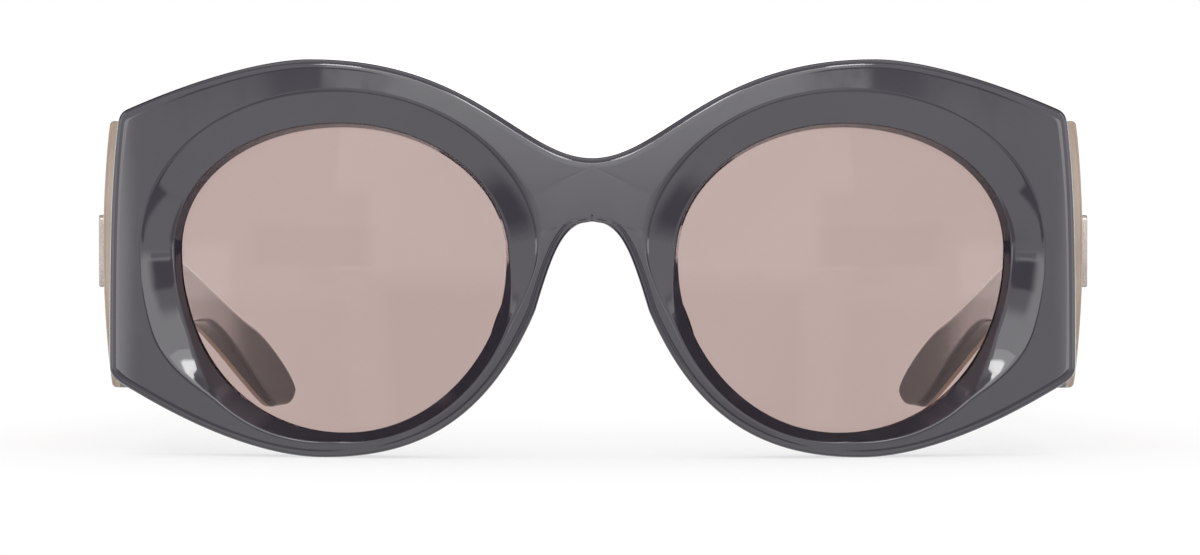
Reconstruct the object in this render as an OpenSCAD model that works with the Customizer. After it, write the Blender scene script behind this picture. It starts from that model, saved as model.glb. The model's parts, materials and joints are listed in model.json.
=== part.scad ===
/* [Front] */
// Width of the bridge between the two lens openings
bridge_w = 27.4; // [24:0.2:29]
// Width of an end piece, from its lens opening to the temple
end_w = 10.4; // [9:0.2:12]
// Height of the brow above a lens opening
brow_h = 10.6; // [9:0.2:12]
// Height of the rim below a lens opening
low_rim_h = 3.8; // [3.4:0.1:4.4]
// Thickness of the front, square to its curve
front_t = 8; // [7.6:0.2:9]
// Radius of the curve that the front wraps round
wrap_r = 260; // [245:5:300]

/* [Lenses] */
// Width of a lens opening where it meets the lens
opening_w = 49.4; // [48:0.2:51]
// Height of a lens opening where it meets the lens
opening_h = 45.8; // [44.4:0.2:46.8]
// Thickness of a lens
lens_t = 1.8; // [1.4:0.1:2]
// Radius of the ball that a lens's front face is part of
lens_ball_r = 130; // [115:5:160]
// Depth of a lens's edge behind the front's face
lens_set = 4.9; // [4.6:0.1:5.2]
// Depth of the groove round a lens opening
groove_d = 0.8; // [0.6:0.1:1]
// Clearance between a lens and its groove
lens_gap = 0.05; // [0.02:0.01:0.1]

/* [Carved bevel] */
// Depth of the crescent bevel where it meets the opening's wall
bevel_d = 2.2; // [1.6:0.1:2.6]
// Width of the crescent bevel
bevel_w = 4.8; // [4:0.1:5]
// Width of the opening's steep wall inside the bevel
wall_w = 0.9; // [0.6:0.1:1.2]
// Width of the steep wall straight below the opening, where there is no bevel
low_wall_w = 1.3; // [1:0.1:1.6]
// Width that the steep wall grows towards at both sides of the opening
low_side_w = 3; // [2.4:0.1:3.4]

/* [Nose pads] */
// Width of a nose pad
pad_w = 4; // [3.4:0.2:5]
// Height of a nose pad
pad_h = 19; // [16:0.5:21]
// How far a nose pad stands out behind the front
pad_out = 6; // [5:0.5:8]

/* [Temples] */
// Distance from the bridge's face to the back of a temple tip
temple_reach = 150; // [144:1:158]
// Thickness of a temple, its side plate included
temple_t = 5; // [4.6:0.1:5.6]
// Radius of a temple's inward curve, seen from above
temple_arc_r = 370; // [340:10:440]
// How far a temple stands outside the front's end
temple_out = 1.9; // [1.4:0.1:2.4]
// How far a temple's outer face falls back from its crown to the tip's lowest point
crown_drop = 2.8; // [2.2:0.1:3]
// Gap between a temple's end and the back of the front
butt_gap = 0.3; // [0.25:0.05:0.5]

/* [Side plates] */
// Thickness of the side plate on a temple's outer face
side_plate_t = 1.3; // [1:0.1:1.4]

/* [Plaques] */
// Length of a plaque along the temple
plaque_l = 14; // [10:0.5:16]
// Height of a plaque
plaque_h = 11.1; // [9:0.1:12]
// Thickness of a plaque
plaque_t = 1.2; // [1:0.1:1.4]
// How deep a plaque's pocket goes into the side plate
plaque_sink = 0.5; // [0.3:0.1:0.7]
// Radius of a plaque's corners
plaque_corner_r = 0.8; // [0.4:0.1:2]
// Radius of a plaque pin
plaque_pin_r = 0.6; // [0.4:0.1:0.8]
// Length of a plaque pin
plaque_pin_l = 2; // [1.4:0.1:2]

/* [Hinges] */
// Radius of a hinge barrel
barrel_r = 1.9; // [1.7:0.1:2.1]
// Height of one knuckle of a hinge
knuckle_h = 1.8; // [1.4:0.1:2.2]
// Gap between two knuckles of a hinge
knuckle_gap = 0.06; // [0.04:0.01:0.1]
// Radius of a hinge screw's shank
screw_r = 0.7; // [0.6:0.05:0.8]
// Clearance round a hinge screw in the knuckles
bore_gap = 0.05; // [0.03:0.01:0.08]
// Length of the leaf in a temple
leaf_l = 12; // [10:0.5:13]
// Width of the leaf in the front
front_leaf_w = 4.4; // [3.6:0.2:4.8]
// Height of the leaf in the front
front_leaf_h = 14; // [12:0.5:18]
// How deep a hinge leaf sinks into the acetate
leaf_sink = 1.4; // [1.2:0.1:1.6]

/* [Core wires] */
// Thickness of a temple's core wire
wire_t = 1; // [0.8:0.1:1.2]
// Height of a temple's core wire
wire_h = 2.4; // [2:0.1:3]

/* [Hidden] */

// Straight pieces to each curve of an outline, and points round a lens opening
curve_steps = 8;
ring_steps = 12;
$fn = 48;

// Clearance round a seated metal piece, and how far a cutter runs past a face
seat_gap = 0.05;
overrun = 1;

// The front is as wide and as high as its openings and what lies round them
lens_x = (bridge_w + opening_w) / 2;
lens_z = low_rim_h + opening_h / 2;
half_w = lens_x + opening_w / 2 + end_w;
front_h = low_rim_h + opening_h + brow_h;

// The back of the front is a round face about the same axis as its face
rear_r = wrap_r - front_t;

// Right half of the front's outline as a chain of curves that share their ends.
// Each place is a share of half the width and a share of the height.
front_shares = [
    [0, 0.753], [0.142, 0.753], [0.238, 1],
    [0.577, 1], [0.681, 1], [0.837, 0.940],
    [0.962, 0.873], [0.977, 0.865], [0.981, 0.850],
    [0.983, 0.822], [0.994, 0.700], [1, 0.580],
    [1, 0.223], [1, 0.196], [0.985, 0.185],
    [0.946, 0.159], [0.814, 0.067], [0.672, 0],
    [0.556, 0], [0.350, 0], [0.211, 0.101],
    [0.116, 0.370], [0.082, 0.507], [0.061, 0.594],
    [0, 0.594]
];

// A lens opening's outline, seen from the front, with the nose on its -X side.
// Each place is a share of half the opening's width and height.
opening_shares = [
    [1.015, 0.20], [1.015, 0.66], [0.58, 1],
    [0, 1], [-0.55, 1], [-1, 0.63],
    [-1, 0.17], [-1, -0.46], [-0.55, -1],
    [0, -1], [0.60, -1], [1.015, -0.50],
    [1.015, 0.20]
];

// The crescent bevel is an arc of directions round the opening, in degrees from
// the temple side, and it fades out at both ends into the steep wall
crescent_mid = 76;
crescent_half = 121;
crescent_fade = 30;
low_wall_share = 0.85;
lens_mid = lens_set + lens_t / 2;

// Side outline of a temple as a chain of curves, from the upper front corner
// round the tip to the lower front corner. Each place is a share of the reach
// and of the front's height.
temple_shares = [
    [0.160, 0.842], [0.347, 0.835], [0.360, 0.5365],
    [0.567, 0.447], [0.660, 0.407], [0.790, 0.290],
    [0.867, 0.238], [0.920, 0.198], [0.995, 0.088],
    [1, 0.045], [1, 0.017], [0.990, 0],
    [0.975, 0], [0.960, 0], [0.946, 0],
    [0.935, 0], [0.915, 0], [0.800, 0.205],
    [0.700, 0.262], [0.600, 0.319], [0.413, 0.163],
    [0.240, 0.163]
];
temple_front_share = 0.1;
temple_top_share = 0.842;
temple_low_share = 0.163;

// Middle line of a core wire, in the same shares
wire_shares = [
    [0.245, 0.510], [0.390, 0.450], [0.480, 0.365],
    [0.613, 0.345], [0.690, 0.325], [0.760, 0.265],
    [0.830, 0.185]
];

// The temple's curve seen from above is an arc about a point on the far side
arc_y = temple_reach * 0.235;
arc_x = half_w + temple_out - temple_arc_r;
temple_in_r = temple_arc_r - temple_t;
temple_mid_z = front_h * 0.5175;
crown_r = (pow(temple_mid_z, 2) + pow(crown_drop, 2)) / (2 * crown_drop);
crown_steps = 10;

// Where the outer and inner faces of a temple lie at one depth
function temple_out_x(y) = arc_x + sqrt(pow(temple_arc_r, 2) - pow(y - arc_y, 2));
function temple_in_x(y) = arc_x + sqrt(pow(temple_in_r, 2) - pow(y - arc_y, 2));

// The pin stands clear of both acetate faces by the same distance
leaf_out = 0.25;
barrel_air = 0.15;
pin_off = barrel_r + leaf_out + barrel_air;
pin_ring_r = rear_r - pin_off;
end_y = wrap_r - sqrt(pow(rear_r, 2) - pow(half_w, 2));
pin_x = temple_in_x(end_y) - pin_off;
pin_turn = asin(pin_x / pin_ring_r);
pin_y = wrap_r - pin_ring_r * cos(pin_turn);
knuckles = 5;
knuckle_pitch = knuckle_h + knuckle_gap;
hinge_h = knuckles * knuckle_h + (knuckles - 1) * knuckle_gap;
hinge_z = temple_mid_z;
web_half = barrel_r * 0.68;
screw_head_r = barrel_r * 0.7;
screw_head_h = knuckle_h * 0.4;
slot_w = screw_r * 0.45;

// A plaque sits just behind the hinge, on the widest part of the temple
plaque_y = temple_reach * 0.207;
plaque_z = front_h * 0.5075;
plaque_face_x = temple_out_x(plaque_y) - plaque_sink;
plaque_pin_share = 0.32;

// A nose pad leans along the edge of the nose gap
pad_lean = 23.5;
pad_turn = 8;
pad_x = half_w * 0.156;
pad_z = front_h * 0.365;

// A core wire lies behind the hinge leaf, part way through the temple
wire_in_r = temple_in_r + leaf_sink * 0.57;

// Colours of the real object
charcoal = [0.19, 0.18, 0.20];
tinted = [0.72, 0.60, 0.58, 0.6];
tan_plate = [0.66, 0.57, 0.50];
warm_silver = [0.80, 0.76, 0.73];
steel = [0.62, 0.62, 0.64];

// One point of a cubic curve
function curve_point(p, i, t) =
    pow(1 - t, 3) * p[i] + 3 * pow(1 - t, 2) * t * p[i + 1]
    + 3 * (1 - t) * t * t * p[i + 2] + t * t * t * p[i + 3];

// All points of a chain of cubic curves, without its last one
function chain(p, steps) = [
    for (i = [0 : 3 : len(p) - 4]) for (k = [0 : steps - 1]) curve_point(p, i, k / steps)
];

// A table of shares as lengths
function sized(shares, w, h) = [for (s = shares) [s[0] * w, s[1] * h]];

function smooth(t) = let (c = max(0, min(1, t))) c * c * (3 - 2 * c);
function mix(a, b, t) = a + (b - a) * t;

// The front's whole outline: the right half, then its mirror image backwards
function front_outline() =
    let (half = concat(chain(sized(front_shares, half_w, front_h), curve_steps),
                       [[0, front_shares[len(front_shares) - 1][1] * front_h]]))
    concat(half, [for (i = [len(half) - 2 : -1 : 1]) [-half[i][0], half[i][1]]]);

function opening_outline() =
    chain(sized(opening_shares, opening_w / 2, opening_h / 2), ring_steps);

// A flat point moved straight away from the opening's centre
function grown(p, by) = p * (1 + by / norm(p));

// How much of the bevel there is in the direction of a point, from 0 to 1
function bevel_part(p) =
    let (a = atan2(p[1], p[0]) - crescent_mid,
         away = abs(a > 180 ? a - 360 : (a < -180 ? a + 360 : a)))
    smooth((crescent_half - away) / crescent_fade);

// Width of the steep wall where there is no bevel
function low_w(p) = mix(low_wall_w, low_side_w, abs(p[0]) / norm(p));

// Width from the lens to the outer edge of the bevel or of the steep wall
function rim_w(p) = mix(low_w(p), wall_w + bevel_w, bevel_part(p));

// Depth of the front's face behind its own tangent at the lens centre
function face_sag(x) = wrap_r - sqrt(pow(wrap_r, 2) - pow(x, 2));

// Outer edge of a rim's carving, on the front's face
function rim_edge(p) = let (q = grown(p, rim_w(p))) [q[0], face_sag(q[0]), q[1]];

// Rings of one lens opening, from in front of the face to behind the back
function ring_wall(p) =
    let (b = bevel_part(p), edge = rim_edge(p),
         q = grown(p, mix(low_w(p) * low_wall_share, wall_w, b)))
    [q[0], mix(mix(lens_mid, edge[1], low_wall_share), face_sag(q[0]) + bevel_d, b), q[1]];
function ring_above(p) =
    let (edge = rim_edge(p), slope = edge - ring_wall(p)) edge + slope * overrun / norm(slope);
function ring_lens(p) = [p[0], lens_mid, p[1]];
function ring_back(p) =
    let (q = grown(p, wall_w)) [q[0], front_t + face_sag(q[0]) + overrun, q[1]];

// Solid through a list of closed rings, with a fan from each end to its hub
module loft(rings, hubs) {
    n = len(rings[0]);
    m = len(rings);
    sides = [
        for (k = [0 : m - 2]) for (i = [0 : n - 1])
            let (a = k * n + i, b = k * n + (i + 1) % n)
            each [[a, b, b + n], [a, b + n, a + n]]
    ];
    ends = [
        for (i = [0 : n - 1])
            let (j = (i + 1) % n)
            each [[m * n, j, i], [m * n + 1, (m - 1) * n + i, (m - 1) * n + j]]
    ];
    polyhedron(points = concat([for (r = rings) each r], hubs), faces = concat(sides, ends));
}

// Moves a design that starts at the bridge's face so that its middle is the origin
module placed() translate([0, -temple_reach / 2, 0]) children();

// The right side as drawn, or its mirror image on the left
module on_side(s) placed() mirror([s < 0 ? 1 : 0, 0, 0]) children();

// A flat outline standing upright, with its thickness running back
module upright(depth) translate([0, depth, 0]) rotate([90, 0, 0]) linear_extrude(depth) children();

// Places at the face of the front, at its back and at a temple's inner face
module at_face(x)
    translate([0, wrap_r, 0]) rotate([0, 0, asin(x / wrap_r)]) translate([0, -wrap_r, 0]) children();
module at_back_of_pin()
    translate([0, wrap_r, 0]) rotate([0, 0, pin_turn]) translate([0, -rear_r, hinge_z]) children();
module at_temple(y)
    translate([arc_x, arc_y, hinge_z]) rotate([0, 0, asin((y - arc_y) / temple_in_r)])
        translate([temple_in_r, 0, 0]) children();
module at_lens() at_face(lens_x) translate([0, 0, lens_z]) children();

// Slice of a hollow ball, at the lens's place, grown by a clearance on both faces
module lens_shell(gap) {
    apex = lens_set - (lens_ball_r - sqrt(pow(lens_ball_r, 2) - pow(opening_h / 2, 2)));
    translate([0, apex + lens_ball_r, 0]) difference() {
        sphere(r = lens_ball_r + gap, $fn = 96);
        sphere(r = lens_ball_r - lens_t - gap, $fn = 96);
    }
}

// Disc of the opening's outline, grown outwards
module lens_disc(by)
    upright(front_t * 2) polygon([for (p = opening_outline()) grown(p, by)]);

module lens_blank(by, gap) intersection() {
    lens_disc(by);
    lens_shell(gap);
}

module opening_cut() {
    outline = opening_outline();
    loft([
        [for (p = outline) ring_above(p)],
        [for (p = outline) ring_wall(p)],
        [for (p = outline) ring_lens(p)],
        [for (p = outline) ring_back(p)]
    ], [[0, -front_t, 0], [0, 2 * front_t, 0]]);
    lens_blank(groove_d, lens_gap);
}

// Leaf in the back of the front, between the lens opening and the temple's end
module front_leaf(gap)
    translate([web_half - front_leaf_w - gap, -leaf_sink - gap, -front_leaf_h / 2 - gap])
        cube([front_leaf_w + 2 * gap, leaf_sink + leaf_out + 2 * gap, front_leaf_h + 2 * gap]);

module front_frame() color(charcoal) placed() difference() {
    intersection() {
        upright(end_y + overrun) polygon(front_outline());
        translate([0, wrap_r, -overrun]) difference() {
            cylinder(r = wrap_r, h = front_h + 2 * overrun, $fn = 200);
            translate([0, 0, -overrun])
                cylinder(r = rear_r, h = front_h + 4 * overrun, $fn = 200);
        }
    }
    for (s = [0, 1]) mirror([s, 0, 0]) {
        at_lens() opening_cut();
        at_back_of_pin() front_leaf(seat_gap);
    }
}

module nose_pad(s) color(charcoal) on_side(s) intersection() {
    translate([pad_x, front_t, pad_z]) rotate([0, -pad_lean, 0]) rotate([0, 0, pad_turn])
        scale([pad_w / 2, pad_out, pad_h / 2]) sphere(r = 1, $fn = 120);
    translate([0, wrap_r, 0]) cylinder(r = rear_r, h = front_h, $fn = 200);
}

module lens(s) color(tinted) on_side(s) at_lens() lens_blank(groove_d - lens_gap, 0);

// Height of the bottom of one knuckle above the middle of the hinge
function knuckle_z(i) = -hinge_h / 2 + i * knuckle_pitch;

module screw_bore()
    translate([0, 0, -hinge_h / 2 - overrun]) cylinder(r = screw_r + bore_gap, h = hinge_h + 2 * overrun);

// Barrel pieces of one leaf, each with a web that reaches back by pin_off along -Y
module knuckle_row(first) difference() {
    for (i = [first : 2 : knuckles - 1]) translate([0, 0, knuckle_z(i)]) {
        cylinder(r = barrel_r, h = knuckle_h);
        translate([-web_half, -pin_off, 0]) cube([2 * web_half, pin_off, knuckle_h]);
    }
    screw_bore();
}

module front_hinge(s) color(steel) on_side(s) at_back_of_pin() {
    front_leaf(0);
    translate([0, pin_off, 0]) knuckle_row(0);
}

module hinge_screw(s) color(steel) on_side(s) translate([pin_x, pin_y, hinge_z]) difference() {
    union() {
        translate([0, 0, -hinge_h / 2]) cylinder(r = screw_r, h = hinge_h);
        translate([0, 0, hinge_h / 2]) cylinder(r = screw_head_r, h = screw_head_h);
    }
    translate([-barrel_r, -slot_w / 2, hinge_h / 2 + screw_head_h / 2])
        cube([2 * barrel_r, slot_w, screw_head_h]);
}

// Leaf in the temple's inner face, from beside the pin backwards
module temple_leaf(gap, lead) at_temple(pin_y)
    translate([-leaf_out - gap, 2 * butt_gap - web_half - gap - lead, -hinge_h / 2 - gap])
        cube([leaf_sink + leaf_out + 2 * gap, leaf_l + 2 * gap + lead, hinge_h + 2 * gap]);

module temple_hinge(s) color(steel) on_side(s) {
    temple_leaf(0, 0);
    translate([pin_x, pin_y, hinge_z]) rotate([0, 0, 90]) knuckle_row(1);
}

// Side view of a temple as a slab that reaches from the middle past its outside
module temple_slab() {
    front_y = temple_front_share * temple_reach;
    outline = concat(
        [[front_y, temple_top_share * front_h]],
        chain(sized(temple_shares, temple_reach, front_h), curve_steps),
        [[temple_shares[len(temple_shares) - 1][0] * temple_reach, temple_low_share * front_h],
         [front_y, temple_low_share * front_h]]);
    rotate([90, 0, 90]) linear_extrude(half_w * 2) polygon(outline);
}

// Points of the crowned outer face, moved inwards by a depth
function crown_line(depth) = [
    for (i = [0 : crown_steps])
        let (z = front_h * i / crown_steps)
        [temple_arc_r - depth - (crown_r - sqrt(pow(crown_r, 2) - pow(z - temple_mid_z, 2))), z]
];

// Ring with the crowned face outside and any other line inside
module temple_ring(outside, inside)
    translate([arc_x, arc_y, 0]) rotate_extrude($fn = 200)
        polygon(concat(outside, [for (i = [len(inside) - 1 : -1 : 0]) inside[i]]));

// Everything behind the back of the front, less the joint gap
module behind_front()
    translate([0, wrap_r, 0]) cylinder(r = rear_r - butt_gap, h = front_h, $fn = 200);

module plaque_plate(gap) {
    w = plaque_l + 2 * gap;
    h = plaque_h + 2 * gap;
    r = plaque_corner_r;
    translate([plaque_face_x - gap, plaque_y, plaque_z]) rotate([90, 0, 90])
        linear_extrude(plaque_t + gap) union() {
            square([w - 2 * r, h], center = true);
            square([w, h - 2 * r], center = true);
            for (a = [-1, 1]) for (b = [-1, 1])
                translate([a * (w / 2 - r), b * (h / 2 - r)]) circle(r = r, $fn = 24);
        }
}

module plaque_pin_pair(gap)
    for (a = [-1, 1])
        translate([plaque_face_x - plaque_pin_l - gap, plaque_y + a * plaque_pin_share * plaque_l, plaque_z])
            rotate([0, 90, 0]) cylinder(r = plaque_pin_r + gap, h = plaque_pin_l + gap);

// Core wire as a slab along its middle line, cut from a thin ring
module wire_bar(gap) {
    line = chain(sized(wire_shares, temple_reach, front_h), curve_steps);
    half = wire_h / 2 + gap;
    last = len(line) - 1;
    side = [
        for (i = [0 : last])
            let (d = line[min(i + 1, last)] - line[max(i - 1, 0)])
            [-d[1], d[0]] / norm(d) * half
    ];
    intersection() {
        rotate([90, 0, 90]) linear_extrude(half_w * 2)
            polygon(concat([for (i = [0 : last]) line[i] + side[i]],
                           [for (i = [last : -1 : 0]) line[i] - side[i]]));
        translate([arc_x, arc_y, 0]) rotate_extrude($fn = 200)
            translate([wire_in_r - gap, 0]) square([wire_t + 2 * gap, front_h]);
    }
}

module temple(s) color(charcoal) on_side(s) difference() {
    intersection() {
        temple_slab();
        temple_ring(crown_line(side_plate_t), [[temple_in_r, 0], [temple_in_r, front_h]]);
        behind_front();
    }
    temple_leaf(seat_gap, leaf_l);
    wire_bar(seat_gap);
    plaque_pin_pair(seat_gap);
}

module side_plate(s) color(tan_plate) on_side(s) difference() {
    intersection() {
        temple_slab();
        temple_ring(crown_line(0), crown_line(side_plate_t));
        behind_front();
    }
    plaque_plate(seat_gap);
    plaque_pin_pair(seat_gap);
}

module core_wire(s) color(steel) on_side(s) wire_bar(0);

module plaque(s) color(warm_silver) on_side(s) plaque_plate(0);

module plaque_pins(s) color(warm_silver) on_side(s) plaque_pin_pair(0);

front_frame();
nose_pad(-1);  // nose_pad_left
nose_pad(1);  // nose_pad_right
lens(-1);  // lens_left
lens(1);  // lens_right
front_hinge(-1);  // front_hinge_left
front_hinge(1);  // front_hinge_right
hinge_screw(-1);  // hinge_screw_left
hinge_screw(1);  // hinge_screw_right
temple_hinge(-1);  // temple_hinge_left
temple_hinge(1);  // temple_hinge_right
temple(-1);  // temple_left
temple(1);  // temple_right
side_plate(-1);  // side_plate_left
side_plate(1);  // side_plate_right
core_wire(-1);  // core_wire_left
core_wire(1);  // core_wire_right
plaque(-1);  // plaque_left
plaque(1);  // plaque_right
plaque_pins(-1);  // plaque_pins_left
plaque_pins(1);  // plaque_pins_right
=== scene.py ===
"""Looks of a pair of oversized round sunglasses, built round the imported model.

Sizes are in millimetres in the design frame, whose depth starts at the bridge's
face. to_row() takes a place from there to the row frame, in metres.
"""
import json
import logging
import math
from bisect import bisect_left
from dataclasses import dataclass
from enum import Enum
from functools import cached_property
from typing import Callable, Sequence

import bpy
from mathutils import Matrix, Vector

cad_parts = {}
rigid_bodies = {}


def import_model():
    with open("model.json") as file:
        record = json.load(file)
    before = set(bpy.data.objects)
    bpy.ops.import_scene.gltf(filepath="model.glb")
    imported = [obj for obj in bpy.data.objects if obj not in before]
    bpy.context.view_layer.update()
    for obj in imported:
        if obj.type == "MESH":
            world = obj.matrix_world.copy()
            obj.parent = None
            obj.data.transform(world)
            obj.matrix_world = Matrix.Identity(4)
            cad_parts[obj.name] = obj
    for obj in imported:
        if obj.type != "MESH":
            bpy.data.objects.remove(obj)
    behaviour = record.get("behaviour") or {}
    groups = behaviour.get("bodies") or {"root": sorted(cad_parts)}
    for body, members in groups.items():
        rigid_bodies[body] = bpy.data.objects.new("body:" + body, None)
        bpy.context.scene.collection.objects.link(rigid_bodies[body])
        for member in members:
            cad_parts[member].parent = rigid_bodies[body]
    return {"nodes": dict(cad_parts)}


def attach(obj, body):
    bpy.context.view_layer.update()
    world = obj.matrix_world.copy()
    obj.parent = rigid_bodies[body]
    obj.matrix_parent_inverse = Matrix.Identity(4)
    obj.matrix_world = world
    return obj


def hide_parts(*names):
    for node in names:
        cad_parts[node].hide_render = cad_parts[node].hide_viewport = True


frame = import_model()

LOG = logging.getLogger("sunglasses")

# One millimetre in metres, the distance in metres below which two places are one, and the
# distance in millimetres from the bridge's face to the back of a tip
MM = 0.001
TINY = 1e-6
REACH = 150.0

# Short names for types: an edit mode step is an operator with its options, and an operand
# is what a shader node's input can be given
Place = tuple[float, float]
Place3 = tuple[float, float, float]
Shares = tuple[Place, ...]
Colour = tuple[float, float, float, float]
Step = tuple[Callable[..., set], dict[str, object]]
Operand = float | tuple[float, ...] | bpy.types.NodeSocket

# Control places of three outlines: the right half of the front, as shares of half its
# width and of its height, the right opening, as shares of half its width and half its
# height, and a temple's side view, as shares of the reach and of the front's height
FRONT_SHARES: Shares = (
    (0, 0.753), (0.142, 0.753), (0.238, 1), (0.577, 1), (0.681, 1), (0.837, 0.940),
    (0.962, 0.873), (0.977, 0.865), (0.981, 0.850), (0.983, 0.822), (0.994, 0.700), (1, 0.580),
    (1, 0.223), (1, 0.196), (0.985, 0.185), (0.946, 0.159), (0.814, 0.067), (0.672, 0),
    (0.556, 0), (0.350, 0), (0.211, 0.101), (0.116, 0.370), (0.082, 0.507), (0.061, 0.594),
    (0, 0.594),
)
OPENING_SHARES: Shares = (
    (1.015, 0.20), (1.015, 0.66), (0.58, 1), (0, 1), (-0.55, 1), (-1, 0.63), (-1, 0.17),
    (-1, -0.46), (-0.55, -1), (0, -1), (0.60, -1), (1.015, -0.50), (1.015, 0.20),
)
TEMPLE_SHARES: Shares = (
    (0.160, 0.842), (0.347, 0.835), (0.360, 0.5365), (0.567, 0.447), (0.660, 0.407),
    (0.790, 0.290), (0.867, 0.238), (0.920, 0.198), (0.995, 0.088), (1, 0.045), (1, 0.017),
    (0.990, 0), (0.975, 0), (0.960, 0), (0.946, 0), (0.935, 0), (0.915, 0), (0.800, 0.205),
    (0.700, 0.262), (0.600, 0.319), (0.413, 0.163), (0.240, 0.163),
)


class Side(Enum):
    """The two sides of the sunglasses, by the sign of X."""

    LEFT = -1
    RIGHT = 1

    @property
    def word(self) -> str:
        """The side's word in a piece's name."""
        return self.name.lower()

    def body(self, on_arm: bool) -> str:
        """The body of a piece that is on this side's temple or else on the front."""
        return f"temple_arm_{self.word}" if on_arm else "front"


class Slot(Enum):
    """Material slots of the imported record."""

    FRONT = "front_acetate"
    TEMPLE = "temple_acetate"
    PLATE = "side_plate_tan"
    LENS = "lens_tint"
    PLAQUE = "plaque_silver"
    HINGE = "hinge_steel"
    CORE = "core_nickel"


def mix(a: float, b: float, t: float) -> float:
    """A value between two others."""
    return a + (b - a) * t


def smooth(t: float) -> float:
    """A soft step from 0 to 1."""
    c = max(0.0, min(1.0, t))
    return c * c * (3 - 2 * c)


def to_row(place: Vector) -> Vector:
    """A place in the design frame as a place in the row frame."""
    return Vector((place.x * MM, (place.y - REACH / 2) * MM, place.z * MM))


def chain(shares: Shares, width: float, height: float, steps: int = 40) -> list[Place]:
    """Points of a chain of cubic curves.

    Args:
        shares: Control places as shares of the width and the height.
        width: Length that the first share counts in.
        height: Length that the second share counts in.
        steps: Straight pieces to each curve.

    Returns:
        The points in order, the last one included.
    """
    p = [(s[0] * width, s[1] * height) for s in shares]
    points = []
    for i in range(0, len(p) - 3, 3):
        for k in range(steps):
            t = k / steps
            w = ((1 - t) ** 3, 3 * (1 - t) ** 2 * t, 3 * (1 - t) * t * t, t ** 3)
            points.append(tuple(sum(w[j] * p[i + j][a] for j in range(4)) for a in (0, 1)))
    points.append(p[-1])
    return points


def rounded(before: Vector, corner: Vector, after: Vector, radius: float, steps: int,
            most: float = 0.45) -> list[Vector]:
    """Points of a small rounding in place of a corner.

    Args:
        before: Place ahead of the corner.
        corner: The sharp corner.
        after: Place behind the corner.
        radius: How far the rounding reaches along both sides.
        steps: Straight pieces of the rounding.
        most: Share of either side that it may take up.

    Returns:
        The rounding's points, one more than its pieces.
    """
    back, ahead = before - corner, after - corner
    start = corner + back * min(radius / back.length, most)
    end = corner + ahead * min(radius / ahead.length, most)
    turns = [k / steps for k in range(steps + 1)]
    return [start * (1 - t) ** 2 + corner * (2 * t * (1 - t)) + end * t * t for t in turns]


def between(a: Vector, b: Vector, shares: Sequence[float]) -> list[Vector]:
    """Places on the line from one place to another, at these shares of it."""
    return [a.lerp(b, t) for t in shares]


def lap(angles: Sequence[float], i: int) -> float:
    """An angle of a falling list that goes on past its ends, lower by 360 at each lap."""
    return angles[i % len(angles)] - 360 * (i // len(angles))


def toward(degrees: float) -> Vector:
    """A flat vector of length 1 in a direction."""
    return Vector((math.cos(math.radians(degrees)), math.sin(math.radians(degrees))))


def front_view(place: Vector) -> Vector:
    """A place as the front view has it, without its depth."""
    return Vector((place.x, place.z))


def deselect() -> None:
    """Deselects every object."""
    for other in bpy.context.view_layer.objects:
        other.select_set(False)


def select_only(obj: bpy.types.Object) -> None:
    """Selects one object alone and makes it active.

    Args:
        obj: The object.
    """
    deselect()
    obj.select_set(True)
    bpy.context.view_layer.objects.active = obj


def primitive(add: Callable[..., set], name: str, **options: float) -> bpy.types.Object:
    """Adds one of Blender's primitives with nothing else selected.

    Args:
        add: The operator that adds it.
        name: Name of the new object.
        options: The operator's sizes and counts.

    Returns:
        The new object.
    """
    deselect()
    add(**options)
    obj = bpy.context.object
    obj.name = obj.data.name = name
    return obj


def weld(gap: float = TINY) -> Step:
    """The step that merges places that lie within a gap in metres."""
    return bpy.ops.mesh.remove_doubles, {"threshold": gap}


def face_out() -> Step:
    """The step that turns all faces outwards."""
    return bpy.ops.mesh.normals_make_consistent, {"inside": False}


def edit(obj: bpy.types.Object, *steps: Step) -> None:
    """Runs edit mode operators on all of a mesh.

    Args:
        obj: The mesh object.
        steps: The steps in order.
    """
    select_only(obj)
    bpy.ops.object.mode_set(mode="EDIT")
    for operator, options in steps:
        bpy.ops.mesh.select_all(action="SELECT")
        operator(**options)
    bpy.ops.object.mode_set(mode="OBJECT")


def modify(obj: bpy.types.Object, kind: str, **options: object) -> None:
    """Adds a modifier to an object and applies it.

    Args:
        obj: The object.
        kind: The modifier's type.
        options: Its settings.
    """
    select_only(obj)
    modifier = obj.modifiers.new(kind.lower(), kind)
    for key, value in options.items():
        setattr(modifier, key, value)
    bpy.ops.object.modifier_apply(modifier=modifier.name)


def shade(obj: bpy.types.Object, angle: float = 35.0) -> None:
    """Shades a mesh smooth, with edges sharper than an angle in degrees left sharp."""
    select_only(obj)
    bpy.ops.object.shade_smooth_by_angle(angle=math.radians(angle))


def cut_away(obj: bpy.types.Object, cutter: bpy.types.Object) -> None:
    """Cuts a closed shape out of a piece and deletes the shape."""
    modify(obj, "BOOLEAN", operation="DIFFERENCE", solver="EXACT", object=cutter)
    bpy.data.objects.remove(cutter, do_unlink=True)


def copy_mesh(source: bpy.types.Object, name: str) -> bpy.types.Object:
    """Adds an object with a copy of another one's mesh.

    Args:
        source: The object whose mesh is copied.
        name: Name of the copy.

    Returns:
        The new object.
    """
    obj = bpy.data.objects.new(name, source.data.copy())
    obj.data.name = name
    bpy.context.scene.collection.objects.link(obj)
    return obj


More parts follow.
